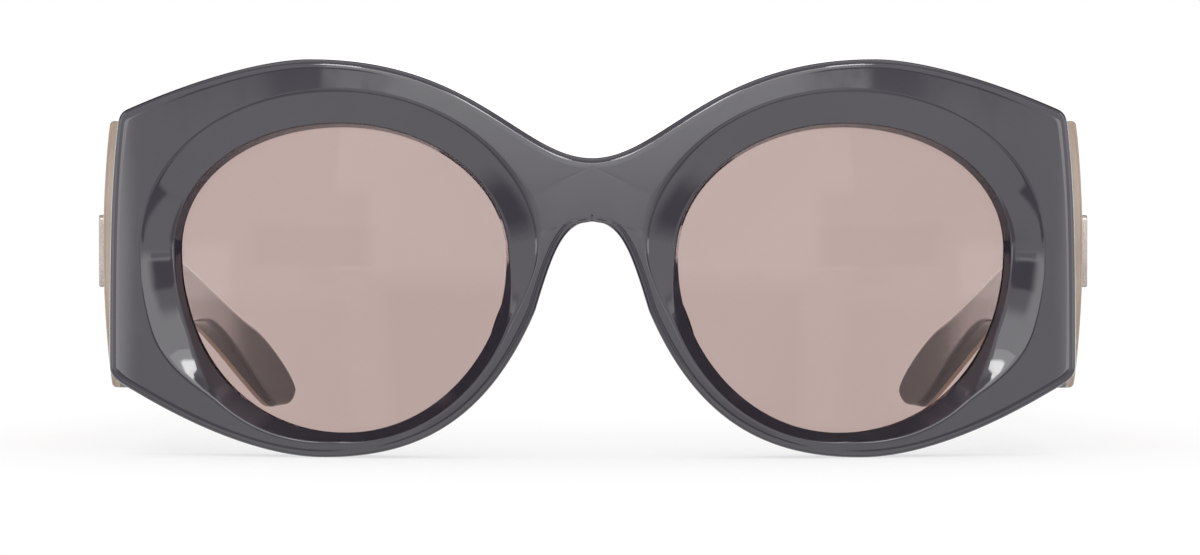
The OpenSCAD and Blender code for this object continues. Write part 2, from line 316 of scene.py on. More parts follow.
def copy_of_node(node: str, name: str, level: float = 0.5) -> bpy.types.Object:
    """A merged copy of a CAD node's mesh.

    Args:
        node: Name of the CAD node.
        name: Name of the copy.
        level: Angle in degrees up to which neighbouring faces become one.

    Returns:
        The copy, with its loose triangles joined into a closed surface.
    """
    obj = copy_mesh(frame["nodes"][node], name)
    obj.data.materials.clear()
    edit(obj, weld(), face_out(),
         (bpy.ops.mesh.dissolve_limited, {"angle_limit": math.radians(level)}))
    return obj


def mirror_copy(obj: bpy.types.Object, name: str) -> bpy.types.Object:
    """A mirror image of a piece across X = 0, with a mesh of its own.

    Args:
        obj: The piece on the right.
        name: Name of the copy.

    Returns:
        The piece on the left, with its faces pointing outwards.
    """
    other = copy_mesh(obj, name)
    other.data.transform(Matrix.Scale(-1, 4, (1, 0, 0)))
    edit(other, face_out())
    return other


@dataclass(frozen=True)
class FrontSizes:
    """Sizes of the front, as the part's solids have them.

    The crescent bevel lies round each lens about one direction. That direction, half
    the bevel's sweep and the length of its fading ends are in degrees.
    """

    bridge_w: float = 27.4
    end_w: float = 10.4
    brow_h: float = 10.6
    low_rim_h: float = 3.8
    thickness: float = 8.0
    wrap_r: float = 260.0
    opening_w: float = 49.4
    opening_h: float = 45.8
    lens_t: float = 1.8
    ball_r: float = 130.0
    lens_set: float = 4.9
    groove_d: float = 0.8
    lens_gap: float = 0.05
    bevel_d: float = 2.2
    bevel_w: float = 4.8
    wall_w: float = 0.9
    low_wall_w: float = 1.3
    low_side_w: float = 3.0
    crescent_mid: float = 76.0
    crescent_half: float = 121.0
    crescent_fade: float = 30.0
    low_wall_share: float = 0.85
    overrun: float = 1.0

    @property
    def lens_x(self) -> float:
        """Distance of a lens's middle from the mirror plane."""
        return (self.bridge_w + self.opening_w) / 2

    @property
    def lens_z(self) -> float:
        """Height of a lens's middle."""
        return self.low_rim_h + self.opening_h / 2

    @property
    def half_w(self) -> float:
        """Half the front's width."""
        return self.lens_x + self.opening_w / 2 + self.end_w

    @property
    def height(self) -> float:
        """Height of the front."""
        return self.low_rim_h + self.opening_h + self.brow_h

    @property
    def rear_r(self) -> float:
        """Radius of the front's back."""
        return self.wrap_r - self.thickness

    @property
    def lens_mid(self) -> float:
        """Depth of the middle of a lens's edge."""
        return self.lens_set + self.lens_t / 2

    def face_y(self, x: float) -> float:
        """Depth of the face."""
        return self.wrap_r - math.sqrt(self.wrap_r ** 2 - x * x)

    def back_y(self, x: float) -> float:
        """Depth of the back."""
        return self.wrap_r - math.sqrt(self.rear_r ** 2 - x * x)

    def ball_y(self, distance: float, inset: float = 0.0) -> float:
        """Depth of a lens's face or back.

        Args:
            distance: Distance from the lens's middle.
            inset: 0 for the face, the lens's thickness for the back.

        Returns:
            The depth in the lens's own frame.
        """
        rise = self.ball_r - math.sqrt(self.ball_r ** 2 - (self.opening_h / 2) ** 2)
        centre = self.lens_set - rise + self.ball_r
        return centre - math.sqrt((self.ball_r - inset) ** 2 - distance ** 2)

    def from_lens(self, x: float, y: float, z: float) -> Vector:
        """Takes a place from the right lens's own frame to the design frame.

        Args:
            x: How far it lies to the lens's right.
            y: Its depth.
            z: How far it lies above the lens's middle.

        Returns:
            The place in the design frame.
        """
        turn = math.asin(self.lens_x / self.wrap_r)
        depth = y - self.wrap_r
        return Vector((x * math.cos(turn) - depth * math.sin(turn),
                       self.wrap_r + x * math.sin(turn) + depth * math.cos(turn),
                       z + self.lens_z))

    def direction(self, x: float, z: float) -> float:
        """Direction of a place on the face from the right lens's middle, in degrees."""
        turn = math.asin(x / self.wrap_r) - math.asin(self.lens_x / self.wrap_r)
        return math.degrees(math.atan2(z - self.lens_z, self.wrap_r * math.sin(turn)))

    def bevel_part(self, degrees: float) -> float:
        """How much of the crescent bevel there is in a direction, from 0 to 1."""
        away = abs((degrees - self.crescent_mid + 180) % 360 - 180)
        return smooth((self.crescent_half - away) / self.crescent_fade)

    def low_w(self, degrees: float) -> float:
        """Width of the steep wall where there is no bevel."""
        return mix(self.low_wall_w, self.low_side_w, abs(math.cos(math.radians(degrees))))

    def rim_w(self, degrees: float) -> float:
        """Width from the lens to the outer edge of the carving."""
        return mix(self.low_w(degrees), self.wall_w + self.bevel_w, self.bevel_part(degrees))

    @cached_property
    def opening_table(self) -> tuple[list[float], list[float]]:
        """Shape of the opening.

        Returns:
            Directions in degrees, in rising order, and the radius in each.
        """
        points = chain(OPENING_SHARES, self.opening_w / 2, self.opening_h / 2)[:-1]
        pairs = sorted((math.degrees(math.atan2(z, x)) % 360, math.hypot(x, z))
                       for x, z in points)
        first, last = pairs[0], pairs[-1]
        pairs = [(last[0] - 360, last[1]), *pairs, (first[0] + 360, first[1])]
        return [p[0] for p in pairs], [p[1] for p in pairs]

    def opening_r(self, degrees: float) -> float:
        """Radius of a lens opening.

        Args:
            degrees: Direction from the lens's middle.

        Returns:
            The radius where the opening meets the lens.
        """
        turns, radii = self.opening_table
        d = degrees % 360
        i = max(1, bisect_left(turns, d))
        return mix(radii[i - 1], radii[i], (d - turns[i - 1]) / (turns[i] - turns[i - 1]))


@dataclass(frozen=True)
class Spot:
    """One place on the outline of half the front."""

    place: Vector
    outward: Vector
    degrees: float


@dataclass
class Front:
    """The carved acetate front, in one piece with its brow, bridge and end pieces.

    The right half is built with a stub past the mirror plane, cut there and mirrored.
    Its sections are spread by the outline's length, its bends and its directions. The
    shares place rings on the straight stretches of a section.
    """

    sizes: FrontSizes
    around: int = 340
    spread: tuple[float, float, float] = (0.42, 0.28, 0.30)
    calm_reach: float = 5.0
    blur: int = 4
    stub: float = 3.0
    stub_shares: Place = (0.62, 0.68)
    edge_r: float = 1.2
    edge_share: float = 0.6
    edge_steps: int = 6
    rear_edge_r: float = 0.8
    rear_edge_steps: int = 4
    mouth_r: float = 0.5
    crease_r: float = 0.32
    turn_steps: int = 4
    brink_r: float = 0.384
    brink_steps: int = 3
    wall_shares: tuple[float, ...] = (0.12, 0.85)
    bevel_shares: tuple[float, ...] = (0.1, 0.5)
    face_shares: tuple[float, ...] = (0.07, 0.3, 0.55, 0.8, 0.94)
    side_shares: tuple[float, ...] = (0.1, 0.5, 0.9)
    back_shares: tuple[float, ...] = (0.07, 0.35, 0.65, 0.93)
    mouth_shares: tuple[float, ...] = (0.15, 0.9)
    step: float = 0.15
    cut_gap: float = 1e-7
    face_gap: float = 1e-5

    def outline(self) -> list[Vector]:
        """Evenly spaced places round the right half, with a stub past the mirror plane.

        Returns:
            The places clockwise from the top of the stub, seen from the front.
        """
        s = self.sizes
        line = [Vector(p) for p in chain(FRONT_SHARES, s.half_w, s.height)]
        line = [Vector((-self.stub, line[0].y)), *line, Vector((-self.stub, line[-1].y))]
        line.append(line[0])
        lengths = [0.0]
        for a, b in zip(line, line[1:]):
            lengths.append(lengths[-1] + (b - a).length)
        count = round(lengths[-1] / self.step)
        places, i = [], 0
        for k in range(count):
            want = lengths[-1] * k / count
            while lengths[i + 1] < want:
                i += 1
            share = (want - lengths[i]) / (lengths[i + 1] - lengths[i])
            places.append(line[i].lerp(line[i + 1], share))
        return places

    def calm_turns(self, places: list[Vector]) -> list[float]:
        """Directions of the outline's places, made to fall steadily.

        Args:
            places: The outline's places in order.

        Returns:
            The direction of each from the lens's middle, in degrees.
        """
        n = len(places)
        turns = [self.sizes.direction(p.x, p.y) for p in places]
        for i in range(1, n):
            turns[i] -= 360 * round((turns[i] - turns[i - 1]) / 360)
        falling, rising = turns[:], turns[:]
        for i in range(1, n):
            falling[i] = min(falling[i], falling[i - 1])
            rising[n - 1 - i] = max(rising[n - 1 - i], rising[n - i])
        level = [(a + b) / 2 for a, b in zip(falling, rising)]
        reach = round(self.calm_reach / self.step)
        near = range(-reach, reach + 1)
        return [sum(lap(level, i + k) for k in near) / len(near) for i in range(n)]

    def spots(self) -> list[Spot]:
        """Chooses the places on the outline that the rings run through.

        Returns:
            The chosen places in order, closer together where the outline turns.
        """
        places = self.outline()
        n = len(places)
        calm = self.calm_turns(places)
        tangents = [(places[(i + 2) % n] - places[i - 2]).normalized() for i in range(n)]
        bends = [abs(tangents[i - 1].angle_signed(tangents[i], 0.0)) for i in range(n)]
        soft = self.blurred(bends)
        total = sum(soft)
        by_length, by_bend, by_fall = self.spread
        marks = [0.0]
        for i in range(n):
            fall = abs(lap(calm, i + 1) - calm[i]) / 360
            marks.append(marks[-1] + by_length / n + by_bend * soft[i] / total + by_fall * fall)
        chosen = []
        for k in range(self.around):
            want = marks[-1] * k / self.around
            i = max(0, bisect_left(marks, want) - 1)
            t = (want - marks[i]) / (marks[i + 1] - marks[i])
            j = (i + 1) % n
            along = tangents[i].lerp(tangents[j], t).normalized()
            chosen.append(Spot(places[i].lerp(places[j], t), Vector((-along.y, along.x)),
                               mix(calm[i], lap(calm, i + 1), t)))
        return chosen

    def blurred(self, values: list[float]) -> list[float]:
        """Values round the outline, each as the mean of itself and its neighbours."""
        n, reach = len(values), range(-self.blur, self.blur + 1)
        return [sum(values[(i + k) % n] for k in reach) / len(reach) for i in range(n)]

    def on_face(self, place: Vector) -> Vector:
        """A flat place set on the face."""
        return Vector((place.x, self.sizes.face_y(place.x), place.y))

    def on_back(self, place: Vector) -> Vector:
        """A flat place set on the back."""
        return Vector((place.x, self.sizes.back_y(place.x), place.y))

    def carving(self, degrees: float) -> tuple[list[Vector], Vector]:
        """The groove, the wall and the bevel in one direction.

        Args:
            degrees: Direction from the lens's middle.

        Returns:
            The points from the groove's bottom to just inside the bevel's edge,
            and the sharp edge itself.
        """
        s = self.sizes
        unit = toward(degrees)
        radius = s.opening_r(degrees)

        def at(grow: float, y: float) -> Vector:
            """A place in this direction, outside the opening and at a depth."""
            return s.from_lens(unit.x * (radius + grow), y, unit.y * (radius + grow))

        part = s.bevel_part(degrees)
        edge_y = s.face_y(unit.x * (radius + s.rim_w(degrees)))
        wall_grow = mix(s.low_w(degrees) * s.low_wall_share, s.wall_w, part)
        wall_y = mix(mix(s.lens_mid, edge_y, s.low_wall_share),
                     s.face_y(unit.x * (radius + wall_grow)) + s.bevel_d, part)
        mouth_y = s.ball_y(radius) - s.lens_gap
        mouth = at(wall_grow * (s.lens_mid - mouth_y) / (s.lens_mid - wall_y), mouth_y)
        bottom = at(s.groove_d, s.ball_y(radius + s.groove_d) - s.lens_gap)
        wall = at(wall_grow, wall_y)
        edge = at(s.rim_w(degrees), edge_y)
        turn = rounded(mouth, wall, edge, self.crease_r, self.turn_steps)
        return [bottom, mouth, *between(mouth, turn[0], self.wall_shares), *turn,
                *between(turn[-1], edge, self.bevel_shares)], edge

    def rear_mouth(self, degrees: float) -> list[Vector]:
        """The opening behind the lens in one direction.

        Args:
            degrees: Direction from the lens's middle.

        Returns:
            The opening's rear edge, its edge at the groove and the groove's bottom.
        """
        s = self.sizes
        unit = toward(degrees)
        radius = s.opening_r(degrees)
        deep = s.thickness + s.face_y(unit.x * (radius + s.wall_w)) + s.overrun

        def at(y: float) -> Vector:
            """A place on the opening's rear wall at a depth."""
            grow = s.wall_w * (y - s.lens_mid) / (deep - s.lens_mid)
            return s.from_lens(unit.x * (radius + grow), y, unit.y * (radius + grow))

        low = s.ball_y(radius, s.lens_t) + s.lens_gap
        deepest = radius + s.groove_d
        bottom_y = s.ball_y(deepest, s.lens_t) + s.lens_gap
        bottom = s.from_lens(unit.x * deepest, bottom_y, unit.y * deepest)
        return [at(s.back_y(unit.x * (radius + s.wall_w / 2))), at(low), bottom]

    def section(self, spot: Spot, radius: float) -> list[Vector]:
        """One closed loop through the front, from a lens opening to the outline.

        Args:
            spot: Place on the outline.
            radius: Radius of the outer edge there.

        Returns:
            The loop's places in the design frame, without a double at its end.
        """
        s = self.sizes
        inner, edge = self.carving(spot.degrees)
        brim = spot.place - spot.outward * radius
        middle = self.on_face(front_view(edge).lerp(brim, 0.5))
        turn = rounded(inner[-1], edge, middle, self.brink_r, self.brink_steps)
        start = front_view(turn[-1])
        face = [self.on_face(start.lerp(brim, t)) for t in self.face_shares]
        arc = [math.radians(90 * k / self.edge_steps) for k in range(self.edge_steps + 1)]
        fillet = [self.on_face(spot.place - spot.outward * radius * (1 - math.sin(a)))
                  + Vector((0, radius * (1 - math.cos(a)), 0)) for a in arc]
        rear_r = min(self.rear_edge_r, radius)
        arc = [math.radians(90 - 90 * k / self.rear_edge_steps)
               for k in range(self.rear_edge_steps + 1)]
        rear = [self.on_back(spot.place - spot.outward * rear_r * (1 - math.sin(a)))
                - Vector((0, rear_r * (1 - math.cos(a)), 0)) for a in arc]
        lip, mouth, bottom = self.rear_mouth(spot.degrees)
        heel = front_view(rear[-1])
        far = self.on_back(heel.lerp(front_view(lip), 0.5))
        corner = self.on_back(front_view(lip))
        back_turn = rounded(far, corner, mouth, self.mouth_r, self.turn_steps)
        toe = front_view(back_turn[0])
        back = [self.on_back(heel.lerp(toe, t)) for t in self.back_shares]
        return [*inner, *turn, *face, *fillet, *between(fillet[-1], rear[0], self.side_shares),
                *rear, *back, *back_turn, *between(back_turn[-1], mouth, self.mouth_shares),
                mouth, bottom]

    def stub_edge(self, place: Vector) -> float:
        """Share of the edge's radius, which fades out high on the stub.

        Args:
            place: Flat place on the outline.

        Returns:
            The share, from 0 to 1.
        """
        low, top = self.stub_shares
        high = smooth((place.y / self.sizes.height - low) / (top - low))
        return 1 - high * (1 - smooth(1 + place.x / self.stub))

    def build(self, pockets: Sequence[bpy.types.Object]) -> bpy.types.Object:
        """Models the front.

        Args:
            pockets: Closed shapes of the two pockets that hold the hinge leaves.

        Returns:
            The finished piece.
        """
        spots = self.spots()
        widths = []
        for spot in spots:
            room = (front_view(self.carving(spot.degrees)[1]) - spot.place).length
            widths.append(min(self.edge_r, self.edge_share * room))
        loops = [self.section(spot, r * self.stub_edge(spot.place))
                 for spot, r in zip(spots, self.blurred(widths))]
        n, m = len(loops), len(loops[0])
        obj = primitive(bpy.ops.mesh.primitive_grid_add, "front_frame_shaped", x_subdivisions=n,
                        y_subdivisions=m, size=2.0)
        for vertex in obj.data.vertices:
            a, b = (round((vertex.co[i] + 1) / 2 * count) for i, count in ((0, n), (1, m)))
            vertex.co = to_row(loops[a % n][b % m])
        edit(obj, weld(self.cut_gap),
             (bpy.ops.mesh.bisect, {"plane_co": (0, 0, 0), "plane_no": (1, 0, 0),
                                    "clear_inner": True, "threshold": self.cut_gap}))
        face = to_row(self.on_face(Vector((0, 0)))).y
        for vertex in obj.data.vertices:
            if abs(vertex.co.x) < TINY:
                vertex.co.x = 0.0
                if abs(vertex.co.y - face) < self.face_gap:
                    vertex.co.y = face
        modify(obj, "MIRROR", use_mirror_merge=True, merge_threshold=2 * TINY)
        edit(obj, weld(), face_out())
        for pocket in pockets:
            cut_away(obj, pocket)
        shade(obj)
        return obj


@dataclass
class Lens:
    """One tinted lens with a ball-shaped face and back."""

    sizes: FrontSizes
    segments: int = 192
    rings: int = 56

    def build(self) -> bpy.types.Object:
        """Models the right lens from a ball whose halves become its face and its back.

        Returns:
            The finished piece.
        """
        s = self.sizes
        obj = primitive(bpy.ops.mesh.primitive_uv_sphere_add, "lens_right_shaped",
                        segments=self.segments, ring_count=self.rings, radius=1.0)
        grow = s.groove_d - s.lens_gap
        for vertex in obj.data.vertices:
            x, z, front = vertex.co
            share = min(1.0, math.hypot(x, z))
            degrees = math.degrees(math.atan2(z, x))
            radius = (s.opening_r(degrees) + grow) * share
            faces = (s.ball_y(radius), s.ball_y(radius, s.lens_t))
            depth = sum(faces) / 2 if abs(front) < TINY else faces[0 if front > 0 else 1]
            place = toward(degrees) * radius
            vertex.co = to_row(s.from_lens(place.x, depth, place.y))
        edit(obj, face_out())
        shade(obj, 30)
        return obj


@dataclass
class NosePad:
    """One nose pad, moulded on the back of the front."""

    sizes: FrontSizes
    width: float = 4.0
    height: float = 19.0
    out: float = 6.0
    lean: float = 23.5
    turn: float = 8.0
    place_share: float = 0.156
    rise_share: float = 0.365
    foot: float = 0.45
    foot_h: float = 1.3
    air: float = 0.01
    segments: int = 72
    rings: int = 48

    def build(self) -> bpy.types.Object:
        """Models the right pad from a ball that is flattened on the front's back.

        Returns:
            The finished piece.
        """
        s = self.sizes
        obj = primitive(bpy.ops.mesh.primitive_uv_sphere_add, "nose_pad_right_shaped",
                        segments=self.segments, ring_count=self.rings, radius=1.0)
        centre = Vector((s.half_w * self.place_share, s.thickness, s.height * self.rise_share))
        turned = Matrix.Rotation(math.radians(-self.lean), 3, "Y") @ Matrix.Rotation(
            math.radians(self.turn), 3, "Z")
        for vertex in obj.data.vertices:
            unit = Vector((vertex.co.x, vertex.co.z, vertex.co.y))
            place = centre + turned @ Vector((unit.x * self.width / 2, unit.y * self.out,
                                              unit.z * self.height / 2))
            floor = s.back_y(place.x) + self.air
            stand = max(0.0, 1 - max(0.0, place.y - floor) / self.foot_h) ** 2
            side = Vector((unit.x, 0, unit.z))
            if place.y < floor:
                stand = side.length ** 2
            if side.length > TINY:
                place += turned @ (side.normalized() * self.foot * stand)
            place.y = max(place.y, s.back_y(place.x) + self.air)
            vertex.co = to_row(place)
        edit(obj, weld(), face_out())
        shade(obj, 40)
        return obj


@dataclass(frozen=True)
class TempleSizes:
    """Sizes of a temple and of its side plate."""

    front: FrontSizes
    thickness: float = 5.0
    arc_r: float = 370.0
    out: float = 1.9
    crown_drop: float = 2.8
    butt_gap: float = 0.3
    plate_t: float = 1.3
    top_share: float = 0.842
    low_share: float = 0.163
    mid_share: float = 0.5175
    arc_share: float = 0.235
    start_y: float = 19.0
    settle: Place = (4.0, 22.0)

    @property
    def arc_y(self) -> float:
        """Depth of the middle of the temple's arc."""
        return REACH * self.arc_share

    @property
    def arc_x(self) -> float:
        """Place of the middle of the temple's arc, on the far side."""
        return self.front.half_w + self.out - self.arc_r

    @property
    def inner_r(self) -> float:
        """Radius of the inner face."""
        return self.arc_r - self.thickness

    @property
    def mid_z(self) -> float:
        """Height of the middle of a temple at the hinge."""
        return self.front.height * self.mid_share

    @property
    def crown_r(self) -> float:
        """Radius of the crown across the outer face."""
        return (self.mid_z ** 2 + self.crown_drop ** 2) / (2 * self.crown_drop)

    def end_y(self, x: float) -> float:
        """Depth of the temple's front end, just behind the front."""
        return self.front.wrap_r - math.sqrt((self.front.rear_r - self.butt_gap) ** 2 - x * x)

    def crowned_r(self, z: float, depth: float) -> float:
        """Radius of the crowned outer face at a height, moved inwards by a depth."""
        drop = self.crown_r - math.sqrt(self.crown_r ** 2 - (z - self.mid_z) ** 2)
        return self.arc_r - depth - drop

    def place(self, y: float, z: float, radius: float) -> Vector:
        """Sets a place of the side view on the temple's arc, just behind the front.

        Args:
            y: Its depth.
            z: Its height.
            radius: Radius of the ring that it lies on.

        Returns:
            The place in the design frame.
        """
        x = self.arc_x + math.sqrt(radius ** 2 - (y - self.arc_y) ** 2)
        start, length = self.settle
        near = 1 - smooth((y - self.start_y - start) / length)
        y += (self.end_y(x) - self.start_y) * near
        return Vector((self.arc_x + math.sqrt(radius ** 2 - (y - self.arc_y) ** 2), y, z))


@dataclass(frozen=True)
class Strip:
    """One side of a temple's outline, as a line that can be moved inwards."""

    line: tuple[Place, ...]
    inward: int
    trim_start: bool = False
    trim_end: bool = False

    @cached_property
    def lengths(self) -> list[float]:
        """Measures the line.

        Returns:
            Its length up to each of its points.
        """
        sums = [0.0]
        for a, b in zip(self.line, self.line[1:]):
            sums.append(sums[-1] + math.dist(a, b))
        return sums

    def at(self, share: float, offset: float) -> Vector:
        """A place on the line, moved inwards.

        Args:
            share: Share of the line's length.
            offset: How far the line is moved inwards.

        Returns:
            The place as depth and height.
        """
        whole = self.lengths[-1]
        start = offset if self.trim_start else 0.0
        end = whole - (offset if self.trim_end else 0.0)
        want = mix(start, end, share)
        i = min(max(1, bisect_left(self.lengths, want)), len(self.line) - 1)
        span = self.lengths[i] - self.lengths[i - 1]
        t = (want - self.lengths[i - 1]) / span
        low, high = max(0, i - 2), min(len(self.line) - 1, i + 1)
        along = (Vector(self.line[high]) - Vector(self.line[low])).normalized()
        place = Vector(self.line[i - 1]).lerp(Vector(self.line[i]), t)
        return place + Vector((-along.y, along.x)) * offset * self.inward


@dataclass(frozen=True)
class Outline:
    """The four sides of a temple's outline.

    The low side and the top side run from the front backwards, and the tip and the
    front end run from below upwards.
    """

    low: Strip
    top: Strip
    tip: Strip
    end: Strip


@dataclass
class TempleLayer:
    """One layer of a temple: the dark acetate or the side plate on its outside.

    The tip is the part of the outline from one numbered curve's end to another's.
    """

    sizes: TempleSizes
    name: str
    outer: bool
    edge_r: float
    end_r: float = 0.4
    end_blend: float = 3.0
    along: int = 170
    across: int = 28
    arc_steps: int = 5
    curve_steps: int = 24
    tip_curves: tuple[int, int] = (3, 5)

    def outline(self) -> Outline:
        """Works out the temple's outline in the side view.

        Returns:
            Its four sides.
        """
        s = self.sizes
        height = s.front.height
        line = chain(TEMPLE_SHARES, REACH, height, self.curve_steps)
        tip_start, tip_end = (self.curve_steps * curve for curve in self.tip_curves)
        top = ((s.start_y, s.top_share * height), *line[:tip_start + 1])
        low = ((s.start_y, s.low_share * height), *reversed(line[tip_end:]))
        tip = tuple(reversed(line[tip_start:tip_end + 1]))
        end = ((s.start_y, s.low_share * height), (s.start_y, s.top_share * height))
        return Outline(Strip(low, 1, trim_start=True), Strip(top, -1, trim_start=True),
                       Strip(tip, 1), Strip(end, -1, trim_start=True, trim_end=True))

    def flat_grid(self) -> dict[tuple[int, int], tuple[Vector, float]]:
        """Places of a grid that fills the outline, with rings that follow its edge.

        Returns:
            For each grid place, its depth and height, and how far it has dropped
            from the face because of the rounded edge.
        """
        outline = self.outline()
        turns = [math.radians(90 * (1 - k / self.arc_steps)) for k in range(self.arc_steps + 1)]
        offsets = [self.edge_r * (1 - math.sin(a)) for a in turns]
        drops = [self.edge_r * (1 - math.cos(a)) for a in turns]
        rings = self.arc_steps

        def corner_calm(strip: Strip, share: float) -> float:
            """How much of the edge's rounding is left along the front end."""
            gap = min(share, 1 - share) * strip.lengths[-1]
            return mix(1.0, self.end_r / self.edge_r, smooth(gap / self.end_blend))

        def edge_place(a: int, b: int, k: int) -> tuple[Vector, float]:
            """A place on one ring of the rounded edge.

            Args:
                a: Its number along the temple.
                b: Its number across the temple.
                k: Number of the ring, from the outline inwards.

            Returns:
                Its depth and height, and its drop from the face.
            """
            u = (a - k) / (self.along - 2 * k)
            v = (b - k) / (self.across - 2 * k)
            if b == k:
                return outline.low.at(u, offsets[k]), drops[k]
            if b == self.across - k:
                return outline.top.at(u, offsets[k]), drops[k]
            if a == self.along - k:
                return outline.tip.at(v, offsets[k]), drops[k]
            scale = corner_calm(outline.end, v)
            place = outline.end.at(v, offsets[k])
            place.x += offsets[k] * (scale - 1)
            return place, drops[k] * scale

        grid = {}
        for a in range(self.along + 1):
            for b in range(self.across + 1):
                k = min(a, b, self.along - a, self.across - b)
                if k <= rings:
                    grid[a, b] = edge_place(a, b, k)
        last_a, last_b = self.along - rings, self.across - rings
        corners = [grid[i, j][0] for i, j in ((rings, rings), (last_a, rings), (rings, last_b),
                                              (last_a, last_b))]
        for a in range(rings + 1, last_a):
            u = (a - rings) / (self.along - 2 * rings)
            for b in range(rings + 1, last_b):
                v = (b - rings) / (self.across - 2 * rings)
                sides = (grid[a, rings][0].lerp(grid[a, last_b][0], v)
                         + grid[rings, b][0].lerp(grid[last_a, b][0], u))
                flat = corners[0].lerp(corners[1], u).lerp(corners[2].lerp(corners[3], u), v)
                grid[a, b] = (sides - flat, 0.0)
        return grid

    def build(self, pockets: Sequence[bpy.types.Object]) -> bpy.types.Object:
        """Models the right-hand layer from a grid that is extruded and then shaped.

        Args:
            pockets: Closed shapes that are cut out of the layer.

        Returns:
            The finished piece.
        """
        s = self.sizes
        obj = primitive(bpy.ops.mesh.primitive_grid_add, f"{self.name}_right_shaped",
                        x_subdivisions=self.along, y_subdivisions=self.across, size=2.0)
        edit(obj, (bpy.ops.mesh.extrude_region_move,
                   {"TRANSFORM_OT_translate": {"value": (0, 0, 1)}}))
        grid = self.flat_grid()
        for vertex in obj.data.vertices:
            a = round((vertex.co.x + 1) / 2 * self.along)
            b = round((vertex.co.y + 1) / 2 * self.across)
            flat, drop = grid[a, b]
            rounded_face = vertex.co.z > 0.5
            if not rounded_face:
                radius = s.crowned_r(flat.y, s.plate_t)
            elif self.outer:
                radius = s.crowned_r(flat.y, drop)
            else:
                radius = s.inner_r + drop
            vertex.co = to_row(s.place(flat.x, flat.y, radius))
        edit(obj, face_out())
        for pocket in pockets:
            cut_away(obj, pocket)
        shade(obj)
        return obj


@dataclass(frozen=True)
class HingeSizes:
    """Sizes of a hinge and of the places it is let into."""

    temple: TempleSizes
    barrel_r: float = 1.9
    knuckle_h: float = 1.8
    knuckle_gap: float = 0.06
    knuckles: int = 5
    leaf_l: float = 12.0
    front_leaf_w: float = 4.4
    front_leaf_h: float = 14.0
    leaf_sink: float = 1.4
    leaf_out: float = 0.25
    barrel_air: float = 0.15
    web_share: float = 0.68
    seat_gap: float = 0.05

    @property
    def height(self) -> float:
        """Height of the row of knuckles."""
        return self.knuckles * self.knuckle_h + (self.knuckles - 1) * self.knuckle_gap

    @property
    def pin(self) -> Vector:
        """Place of the right hinge.

        Returns:
            Middle of its pin in the design frame.
        """
        t = self.temple
        off = self.barrel_r + self.leaf_out + self.barrel_air
        end_y = t.front.wrap_r - math.sqrt(t.front.rear_r ** 2 - t.front.half_w ** 2)
        x = t.arc_x + math.sqrt(t.inner_r ** 2 - (end_y - t.arc_y) ** 2) - off
        ring = t.front.rear_r - off
        return Vector((x, t.front.wrap_r - math.sqrt(ring ** 2 - x * x), t.mid_z))

    @property
    def web_half(self) -> float:
        """Half the width of a knuckle's web."""
        return self.barrel_r * self.web_share

    def block(self, name: str, low: Place3, high: Place3, turn: float,
              base: Vector) -> bpy.types.Object:
        """A turned block that serves as a cutter.

        Args:
            name: Name of the block.
            low: Its lowest corner in its own frame.
            high: Its highest corner in its own frame.
            turn: Its turn about the vertical, in radians.
            base: Place of its own frame in the design frame.

        Returns:
            The block in the row frame.
        """
        obj = primitive(bpy.ops.mesh.primitive_cube_add, name, size=2.0)
        spin = Matrix.Rotation(turn, 3, "Z")
        for vertex in obj.data.vertices:
            own = Vector(mix(low[i], high[i], (vertex.co[i] + 1) / 2) for i in range(3))
            vertex.co = to_row(base + spin @ own)
        return obj

    def front_pocket(self) -> bpy.types.Object:
        """Shapes the pocket in the back of the front, on the right.

        Returns:
            The closed shape that is cut out.
        """
        f = self.temple.front
        pin, g = self.pin, self.seat_gap
        turn = math.atan2(pin.x, f.wrap_r - pin.y)
        base = Vector((f.rear_r * math.sin(turn), f.wrap_r - f.rear_r * math.cos(turn), pin.z))
        half = self.front_leaf_h / 2 + g
        low = (self.web_half - self.front_leaf_w - g, -self.leaf_sink - g, -half)
        high = (self.web_half + g, self.leaf_out + g, half)
        return self.block("front_pocket", low, high, turn, base)

    def temple_pocket(self) -> bpy.types.Object:
        """Shapes the pocket in a temple's inner face, open at its front end, on the right.

        Returns:
            The closed shape that is cut out.
        """
        t = self.temple
        turn = math.asin((self.pin.y - t.arc_y) / t.inner_r)
        base = Vector((t.arc_x + t.inner_r * math.cos(turn),
                       t.arc_y + t.inner_r * math.sin(turn), t.mid_z))
        g, half = self.seat_gap, self.height / 2 + self.seat_gap
        start = 2 * t.butt_gap - self.web_half
        low = (-self.leaf_out - g, start - g - self.leaf_l, -half)
        high = (self.leaf_sink + g, start + self.leaf_l + g, half)
        return self.block("temple_pocket", low, high, turn, base)


@dataclass
class Hardware:
    """Metal pieces that keep the shapes of their CAD nodes, with softened edges."""

    node: str
    soft: float
    steps: int = 3
    sharp: float = 40.0

    def build(self, side: Side) -> bpy.types.Object:
        """Models the piece for one side.

        Args:
            side: Which side's node is copied.

        Returns:
            The finished piece.
        """
        name = f"{self.node}_{side.word}"
        obj = copy_of_node(name, f"{name}_shaped")
        modify(obj, "BEVEL", width=self.soft * MM, segments=self.steps, limit_method="ANGLE",
               angle_limit=math.radians(self.sharp), harden_normals=False)
        shade(obj, self.sharp)
        return obj


